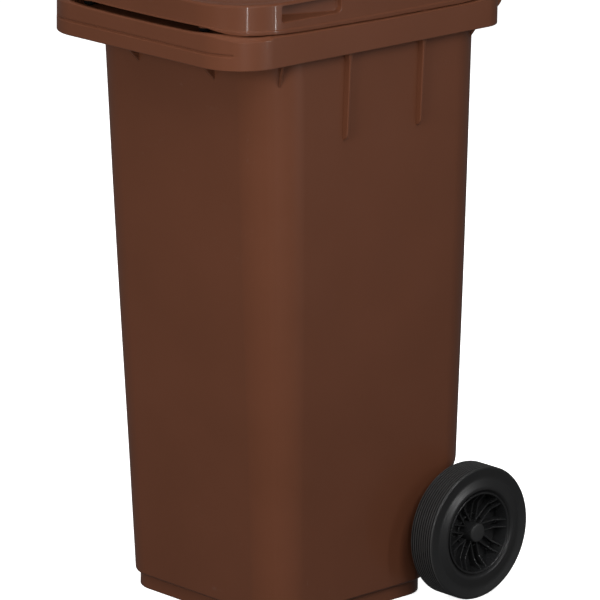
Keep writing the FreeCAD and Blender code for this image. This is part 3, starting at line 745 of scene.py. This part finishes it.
def make_lid_outside():
    """Lower bead, skirt, a raised edge round the top with a shallow groove inside it, the top."""
    edge = LID_EDGE + 2
    wall = inset(LID, BEAD_PROUD)
    stations = (
        (inset(LID, 40), 1, LID_BOTTOM, 0),
        (LID, 1, LID_BOTTOM, 1.6),
        (LID, 0.57, LID_BOTTOM + BEAD_HEIGHT - 1.3, 1.2),
        (wall, 0.5, LID_BOTTOM + BEAD_HEIGHT, 0.6),
        (inset(wall, 0.3), 0.2, LID_BOTTOM + 15, 0),
        (inset(wall, 0.6), 0, LID_BOTTOM + LID_WAVE_HEIGHT, 0),
        (inset(wall, 1.0), 0, edge, 3.6),
        (inset(LID, 15), 0, edge + 0.8, 3),
        (inset(LID, 18), 0, edge - 1.4, 2),
        (inset(LID, 24), 0, edge - 1.2, 3),
        (inset(LID, 34), 0, LID_TOP - 2.0, 6),
        (inset(LID, 60), 0, LID_TOP - 1.0, 0),
        (inset(LID, 110), 0, LID_TOP - 0.3, 0),
        (inset(LID, 150), 0, LID_TOP - 0.05, 0))
    return lid_solid("lid_shell", stations, LID_BOTTOM, LID_TOP)


def make_lid_inside():
    """The room under the lid, which is cut out of its outside."""
    start = LID_BOTTOM - 9
    edge = LID_EDGE + 2 - LID_WALL
    top = LID_TOP - LID_WALL
    stations = (
        (inset(LID, 40), 0, start, 0),
        (inset(LID, LID_WALL), 0, start, 0),
        (inset(LID, LID_WALL), 0, edge, 3),
        (inset(LID, 26), 0, edge - 1, 2),
        (inset(LID, 38), 0, top - 2.2, 5),
        (inset(LID, 110), 0, top - 0.6, 0),
        (inset(LID, 150), 0, top - 0.4, 0))
    return lid_solid("lid_hollow", stations, start, top - 0.4)


def make_lid():
    outer = make_lid_outside()
    hollow = make_lid_inside()
    for name, sign in SIDES:
        take_away(outer, pocket_tool("pocket", sign, 0))
        take_away(hollow, pocket_tool("pocket_wall", sign, LID_WALL))
    take_away(outer, hollow)
    soften(outer, bevel=False)
    pieces = [outer]
    arm = [(LID[2] - 2, LID_BOTTOM + 3.5), (HINGE[0] - 4, HINGE[1] - KNUCKLE_RADIUS + 0.4)]
    arm += arc_points(HINGE, KNUCKLE_RADIUS, -90, 100, 8)
    arm.append((LID[2] - 2, LID_EDGE - 6))
    half = KNUCKLE_WIDTH / 2
    for name, sign in SIDES:
        x = KNUCKLE_X * sign
        pieces.append(extruded(f"hinge_arm_{name}", arm, x - half, x + half, "lid",
                               width=1.2, segments=3))
        post = circle_points((BUFFER[0] * sign, BUFFER[1]), BUFFER_POST_RADIUS, 32)
        pieces.append(extruded(f"buffer_post_{name}", post, LID_BOTTOM + 6.1, LID_EDGE - 1, "lid",
                               axis="z", width=0.6))
    return pieces


# ---------------------------------------------------------------- wheels
def make_tyre(label, sign):
    """Solid tyre: fine tread grooves, small shoulders, sides dished down to a proud bead."""
    half = TYRE_HALF
    outer = WHEEL_RADIUS
    bore = HUB_RADIUS
    face = [(half - 4.4, bore + 0.05), (half - 4.0, bore + 1.0), (half - 3.2, bore + 1.8),
            (half - 1.2, bore + 3.2), (half - 0.25, bore + 4.2), (half, bore + 5.4), (half, bore + 8),
            (half - 0.3, bore + 9.2), (half - 1.0, bore + 10.9), (half - 3.7, bore + 18.2),
            (half - 4.1, bore + 20.2), (half - 4.1, bore + 23.0), (half - 3.7, bore + 26),
            (half - 2.1, outer - 4.2), (half - 2.0, outer - 3.2), (half - 2.1, outer - 2.0),
            (half - 2.7, outer - 0.9), (half - 3.7, outer - 0.3)]
    groove = ((-1.6, 0), (-1.15, 0.3), (-0.75, TREAD_DEPTH * 0.85), (0, TREAD_DEPTH),
              (0.75, TREAD_DEPTH * 0.85), (1.15, 0.3), (1.6, 0))
    tread = []
    for k in range(TREAD_GROOVES):
        middle = TREAD_PITCH * (k - TREAD_GROOVES // 2)
        for shift, depth in groove:
            tread.append((middle + shift, outer - depth))
    profile = [(-x, r) for x, r in face] + tread + face[::-1]
    tyre = turned(f"tyre_{label}", profile, (WHEEL_X * sign, *AXLE), f"wheel_{label}",
                  160, sign)
    return soften(tyre, bevel=False)


def spoke_rib(name, sign, heading, across, body):
    """One rib of a spoke: low between barrel and ring, then climbing to the ring's lip."""
    half = SPOKE_THICKNESS / 2
    root = -12
    # radius, height of the rib's top outwards along the axle
    stations = ((14.5, 6.0), (30, 6.6), (42, 7.6), (46, 9.2), (55, 17.2), (58.5, 19.4))
    c = math.cos(heading)
    s = math.sin(heading)
    rings = []
    for radius, top in stations:
        ring = []
        for u, x in ((across - half, root), (across + half, root), (across + half, top - 0.5),
                     (across + half * 0.55, top), (across - half * 0.55, top),
                     (across - half, top - 0.5)):
            ring.append((sign * (WHEEL_X + x), AXLE[0] + u * c - radius * s,
                         AXLE[1] + u * s + radius * c))
        rings.append(ring)
    return soften(loft_solid(name, rings, body), bevel=False, sharp=60)


def make_hub(label, sign):
    """Ring, disc and barrel turned in one, a low drum, nine pairs of spokes, a lock tower."""
    body = f"wheel_{label}"
    centre = (WHEEL_X * sign, *AXLE)
    bore = 10.08
    ring_out = HUB_RADIUS
    # the ring's inner side, disc and barrel inwards, the bore, then out again to the lip
    ring = [(-20, ring_out), (-20, 59.0), (-19.3, 58.4), (-4, 57.5), (-2.4, 57),
            (-2, 55.5), (-2, 18.5), (-3, 17.2), (-29.2, 17), (-30, 16.2), (-30, bore),
            (CAP_X - 0.5, bore), (CAP_X, bore + 0.5), (CAP_X, 12.9), (CAP_X - 0.6, 13.6),
            (6, 15.5), (-1.5, 16.5), (-5.5, 18.5), (-6, 20), (-6, 53), (-5.2, 55.6), (-3, 57),
            (16.8, 58.2), (20.4, 58.5), (21.5, 59.0), (22.1, 59.9), (21.9, 60.9), (21.2, 61.6),
            (19.6, ring_out)]
    pieces = [soften(turned(f"hub_ring_{label}", ring, centre, body, 160, sign),
                     bevel=False)]
    drum = [(-5.8, 27), (2.6, 26.4), (3.4, 25.9), (3.8, 25.2), (3.4, 24.5), (2.6, 24), (-5.8, 23.6)]
    pieces.append(soften(turned(f"hub_drum_{label}", drum, centre, body, 96, sign),
                         bevel=False))
    for k in range(SPOKES):
        heading = sign * math.radians(SPOKE_TURN + 360 / SPOKES * k)
        for edge in (-1, 1):
            pieces.append(spoke_rib(f"spoke_{k}_{edge + 1}_{label}", sign, heading,
                                    edge * SPOKE_SPACING / 2, body))
    low, high = (AXLE[1] + rise for rise in LOCK_TOWER_RISE)
    tower = circle_points(((WHEEL_X - LOCK_TOWER_INWARD) * sign, AXLE[0]), LOCK_TOWER_RADIUS, 40)
    pieces.append(extruded(f"lock_tower_{label}", tower, low, high, body,
                           axis="z", width=0.6))
    return pieces


def make_cap(label, sign):
    radius = 14.2
    profile = [(-3.4, 0.4), (-3.4, 10), (0, 10), (0, radius), (2.2, radius), (3.0, radius - 0.25),
               (3.6, radius - 0.8), (4.0, radius - 1.8), (4.3, radius - 4), (4.5, 6), (4.6, 0.4)]
    cap = turned(f"cap_{label}", profile, ((WHEEL_X + CAP_X) * sign, *AXLE), f"wheel_{label}",
                 96, sign)
    return soften(cap, bevel=False)


# ---------------------------------------------------------------- materials
# the Mix node has one set of sockets for each data type; these are the colour ones
MIX_COLOUR_INPUTS = (6, 7)
MIX_COLOUR_OUTPUT = 2
COAT_ROUGHNESS = 0.07
MOTTLE_SCALE = 6
GLOSS_SCALE = 16.2
WAVE_SCALE = 13
WAVE_OVER_GRAIN = 22
SCRATCH_STRETCH = (7, 60, 9)
SCRATCH_TURN = (0.3, 0.5, 0.4)


def add_noise(nodes, links, coordinates, scale, detail=4, roughness=0.55):
    noise = nodes.new("ShaderNodeTexNoise")
    noise.inputs["Scale"].default_value = scale
    noise.inputs["Detail"].default_value = detail
    noise.inputs["Roughness"].default_value = roughness
    links.new(coordinates, noise.inputs["Vector"])
    return noise.outputs["Fac"]


def ramp(nodes, links, factor, low, high, start, end):
    """Turn a factor between start and end into a value between low and high."""
    turn = nodes.new("ShaderNodeMapRange")
    turn.inputs["From Min"].default_value = start
    turn.inputs["From Max"].default_value = end
    turn.inputs["To Min"].default_value = low
    turn.inputs["To Max"].default_value = high
    turn.clamp = True
    links.new(factor, turn.inputs["Value"])
    return turn.outputs["Result"]


def blend_colours(nodes, links, factor, one, two):
    """Mix two colours; each is a tuple or another node's output."""
    mix = nodes.new("ShaderNodeMix")
    mix.data_type = "RGBA"
    links.new(factor, mix.inputs["Factor"])
    for place, value in zip(MIX_COLOUR_INPUTS, (one, two)):
        if isinstance(value, tuple):
            mix.inputs[place].default_value = (*value, 1)
        else:
            links.new(value, mix.inputs[place])
    return mix.outputs[MIX_COLOUR_OUTPUT]


def plastic(name, dark, light, roughness, grain, grain_depth, wear=0.0, metallic=0.0,
            specular=0.5, stretch=(1, 1, 1), scuff=(0.3, 0.27, 0.25), coat=0.0):
    """Moulded surface: slow colour drift, fine grain bump, faint scuffs and uneven gloss."""
    material = bpy.data.materials.new(name)
    material.use_nodes = True
    nodes, links = material.node_tree.nodes, material.node_tree.links
    shader = nodes["Principled BSDF"]
    shader.inputs["Metallic"].default_value = metallic
    shader.inputs["Specular IOR Level"].default_value = specular
    shader.inputs["Coat Weight"].default_value = coat
    shader.inputs["Coat Roughness"].default_value = COAT_ROUGHNESS
    place = nodes.new("ShaderNodeTexCoord").outputs["Object"]
    scaled = nodes.new("ShaderNodeMapping")
    scaled.inputs["Scale"].default_value = stretch
    links.new(place, scaled.inputs["Vector"])
    place = scaled.outputs["Vector"]
    slow = add_noise(nodes, links, place, MOTTLE_SCALE, 5)
    colour = blend_colours(nodes, links, ramp(nodes, links, slow, 0, 1, 0.3, 0.7), dark, light)
    fine = add_noise(nodes, links, place, grain, 3, 0.6)
    if wear > 0:
        marks = nodes.new("ShaderNodeMapping")
        marks.inputs["Rotation"].default_value = SCRATCH_TURN
        marks.inputs["Scale"].default_value = SCRATCH_STRETCH
        links.new(place, marks.inputs["Vector"])
        lines = add_noise(nodes, links, marks.outputs["Vector"], 6, 6, 0.7)
        patches = add_noise(nodes, links, place, 9, 3)
        product = nodes.new("ShaderNodeMath")
        product.operation = "MULTIPLY"
        links.new(ramp(nodes, links, lines, 0, wear, 0.62, 0.74), product.inputs[0])
        links.new(ramp(nodes, links, patches, 0, 1, 0.5, 0.68), product.inputs[1])
        colour = blend_colours(nodes, links, product.outputs[0], colour, scuff)
    links.new(colour, shader.inputs["Base Color"])
    gloss = add_noise(nodes, links, place, GLOSS_SCALE, 4)
    links.new(ramp(nodes, links, gloss, roughness - 0.035, roughness + 0.045, 0.3, 0.7),
              shader.inputs["Roughness"])
    bump = nodes.new("ShaderNodeBump")
    bump.inputs["Strength"].default_value = 1.0
    bump.inputs["Distance"].default_value = grain_depth
    links.new(fine, bump.inputs["Height"])
    wave = nodes.new("ShaderNodeBump")
    wave.inputs["Strength"].default_value = 1.0
    wave.inputs["Distance"].default_value = grain_depth * WAVE_OVER_GRAIN
    links.new(add_noise(nodes, links, place, WAVE_SCALE, 2), wave.inputs["Height"])
    links.new(bump.outputs["Normal"], wave.inputs["Normal"])
    links.new(wave.outputs["Normal"], shader.inputs["Normal"])
    return material


def paint(things, material):
    """One material in every slot of every piece."""
    for thing in things:
        if len(thing.data.materials) == 0:
            thing.data.materials.append(material)
        for k in range(len(thing.data.materials)):
            thing.data.materials[k] = material


def pale_tread(tyre, paler):
    """Give the faces near the tread's surface the tyre's second material."""
    tyre.data.materials.append(paler)
    for polygon in tyre.data.polygons:
        centre = (tyre.matrix_world @ polygon.center) / MM
        reach = math.hypot(centre.y - AXLE[0], centre.z - AXLE[1])
        polygon.material_index = int(reach > WHEEL_RADIUS - PALE_TREAD_DEPTH)


# ---------------------------------------------------------------- assembly
tub_pieces = make_tub()
lid_pieces = make_lid()
for piece in tub_pieces:
    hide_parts("tub")
for piece in lid_pieces:
    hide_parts("lid")

brown_tub = plastic("brown_tub", (0.093, 0.0325, 0.0162), (0.103, 0.036, 0.0184), 0.38, 1500,
                    0.00001, wear=0.10, specular=0.2, coat=0.25)
brown_lid = plastic("brown_lid", (0.0862, 0.03, 0.0148), (0.0953, 0.0331, 0.0169), 0.36, 1500,
                    0.000008, wear=0.10, specular=0.2, coat=0.25)
hub_black = plastic("hub_black", (0.0095, 0.0097, 0.01), (0.0135, 0.0137, 0.014), 0.26, 1800,
                    0.00001, wear=0.12, scuff=(0.05, 0.05, 0.052))
rubber = plastic("rubber", (0.0098, 0.0099, 0.0101), (0.0155, 0.0157, 0.016), 0.37, 900, 0.00003,
                 wear=0.25, scuff=(0.05, 0.05, 0.05))
# a paler rubber for the tread's outer faces, lighter than the tyre's sides
pale_tread_rubber = plastic("pale_tread_rubber", (0.025, 0.0247, 0.0243), (0.037, 0.0366, 0.036), 0.42, 900,
                      0.00003, wear=0.25, scuff=(0.06, 0.06, 0.06))
cap_black = plastic("cap_black", (0.0135, 0.0137, 0.014), (0.0175, 0.0178, 0.018), 0.42, 1800,
                    0.00001, wear=0.1, scuff=(0.05, 0.05, 0.05))
# the lid buffers: black rubber, painted darker still with the shade they sit in under the lid
buffer_black_painted_shade = plastic("buffer_black_painted_shade", (0.002, 0.002, 0.002), (0.003, 0.003, 0.003), 0.8, 900,
                       0.00003, specular=0.1)
steel = plastic("steel", (0.36, 0.36, 0.37), (0.5, 0.5, 0.5), 0.35, 700, 0.00001, wear=0.3,
                metallic=1.0, stretch=(0.2, 1, 1), scuff=(0.16, 0.15, 0.14))

paint(tub_pieces, brown_tub)
paint(lid_pieces, brown_lid)
for label, sign in SIDES:
    tyre = make_tyre(label, sign)
    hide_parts(f"tyre_{label}")
    paint([tyre], rubber)
    pale_tread(tyre, pale_tread_rubber)
    hub_pieces = make_hub(label, sign)
    for piece in hub_pieces:
        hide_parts(f"wheel_hub_{label}")
    paint(hub_pieces, hub_black)
    cap = make_cap(label, sign)
    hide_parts(f"hub_cap_{label}")
    paint([cap], cap_black)
    paint([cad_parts[f"{n}_{label}"] for n in ("lock_pin", "lock_spring")], steel)
    paint([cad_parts[f"{n}_{label}"] for n in ("spacer", "lock_plug")], hub_black)
    paint([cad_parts[f"hinge_pin_{label}"]], brown_lid)
    # black rubber with painted shade on the buffers under the lid
    paint([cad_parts[f"lid_buffer_{label}"]], buffer_black_painted_shade)
paint([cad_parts["axle"]], steel)


# ---------------------------------------------------------------- floor, light, camera
FLOOR_HALF = 14000


def make_floor():
    half = FLOOR_HALF
    corners = ((-half, -half, 0), (half, -half, 0), (half, half, 0), (-half, half, 0))
    floor = link_mesh("floor", corners, [(0, 1, 2, 3)])
    material = bpy.data.materials.new("floor")
    material.use_nodes = True
    shader = material.node_tree.nodes["Principled BSDF"]
    shader.inputs["Base Color"].default_value = (0.86, 0.86, 0.86, 1)
    shader.inputs["Roughness"].default_value = 0.7
    shader.inputs["Emission Color"].default_value = (1, 1, 1, 1)
    shader.inputs["Emission Strength"].default_value = 0.8
    floor.data.materials.append(material)
    floor.visible_diffuse = False
    floor.visible_glossy = False


# the camera, fitted to the bin's outlines: degrees, metres, and a lens in millimetres
AZIMUTH = 46.2688
ELEVATION = 15.1675
ROLL = 0.6486
DISTANCE = 7.6423
FOCAL = 314.83
AIM = Vector((0, 0.006, 0.43662))
AIM_RIGHT = 0.025476


def direction_from(azimuth, elevation):
    """Unit vector towards a place seen at that azimuth from the front, and that elevation."""
    a = math.radians(azimuth)
    e = math.radians(elevation)
    return Vector((math.sin(a) * math.cos(e), -math.cos(a) * math.cos(e), math.sin(e)))


def camera_axes():
    """Directions to the right of the camera, up, and back towards it."""
    back = direction_from(AZIMUTH, ELEVATION)
    a = math.radians(AZIMUTH)
    right = Vector((math.cos(a), math.sin(a), 0))
    up = back.cross(right)
    c = math.cos(math.radians(ROLL))
    s = math.sin(math.radians(ROLL))
    return c * right + s * up, c * up - s * right, back


def make_camera():
    right, up, back = camera_axes()
    lens = bpy.data.cameras.new("camera")
    lens.sensor_width = 36
    lens.lens = FOCAL
    lens.clip_end = 100
    camera = bpy.data.objects.new("camera", lens)
    bpy.context.scene.collection.objects.link(camera)
    turn = Matrix((right, up, back)).transposed().to_4x4()
    camera.matrix_world = Matrix.Translation(AIM + right * AIM_RIGHT + back * DISTANCE) @ turn
    bpy.context.scene.camera = camera


def make_area(name, turn, elevation, distance, width, height, power, aim, mirrored):
    """A soft light, turned that many degrees to the right of the camera's azimuth."""
    place = Vector(aim) + distance * direction_from(AZIMUTH + turn, elevation)
    light = bpy.data.lights.new(name, "AREA")
    light.shape = "RECTANGLE"
    light.size = width
    light.size_y = height
    light.energy = power
    lamp = bpy.data.objects.new(name, light)
    bpy.context.scene.collection.objects.link(lamp)
    lamp.location = place
    lamp.rotation_euler = (Vector(aim) - place).to_track_quat("-Z", "Y").to_euler()
    lamp.visible_glossy = mirrored
    return lamp


def make_world(strength):
    world = bpy.data.worlds.new("studio")
    world.use_nodes = True
    shade = world.node_tree.nodes["Background"]
    shade.inputs["Color"].default_value = (1, 1, 1, 1)
    shade.inputs["Strength"].default_value = strength
    bpy.context.scene.world = world


WORLD_STRENGTH = 0.09
# what the lights point at, in metres
MIDDLE = (0, 0, 0.5)
UPPER_MIDDLE = (0, 0, 0.8)
RIGHT_WHEEL = (0.22, 0.18, 0.12)
# name, degrees right of the camera, elevation, distance, width, height, power, aim, mirrored;
# the broad lights aren't mirrored in the glossy coat, only the two thin strips and the glint are
LIGHTS = (
    ("key_left", -30, 13, 3.2, 1.2, 1.5, 66, MIDDLE, False),
    ("key_right", 30, 38, 3.2, 1.2, 1.5, 55, MIDDLE, False),
    ("top", -20, 70, 4.0, 4.0, 4.0, 80, MIDDLE, False),
    ("strip_right", 11, 6, 3.0, 0.05, 1.4, 12, UPPER_MIDDLE, True),
    ("strip_far_right", 61.3, 3, 3.0, 0.05, 1.3, 11, UPPER_MIDDLE, True),
    ("fill_back", 180, 35, 3.5, 2.0, 2.0, 60, MIDDLE, False),
    ("fill_left", -110, 30, 3.5, 2.0, 2.0, 30, MIDDLE, False),
    ("glint_right", 60, 16, 4.0, 0.45, 0.9, 15, RIGHT_WHEEL, True))

make_floor()
make_camera()
make_world(WORLD_STRENGTH)
lamps = {row[0]: make_area(*row) for row in LIGHTS}
lamps["glint_right"].visible_diffuse = False
bpy.context.scene.view_settings.view_transform = "Standard"
bpy.context.scene.view_settings.look = "None"
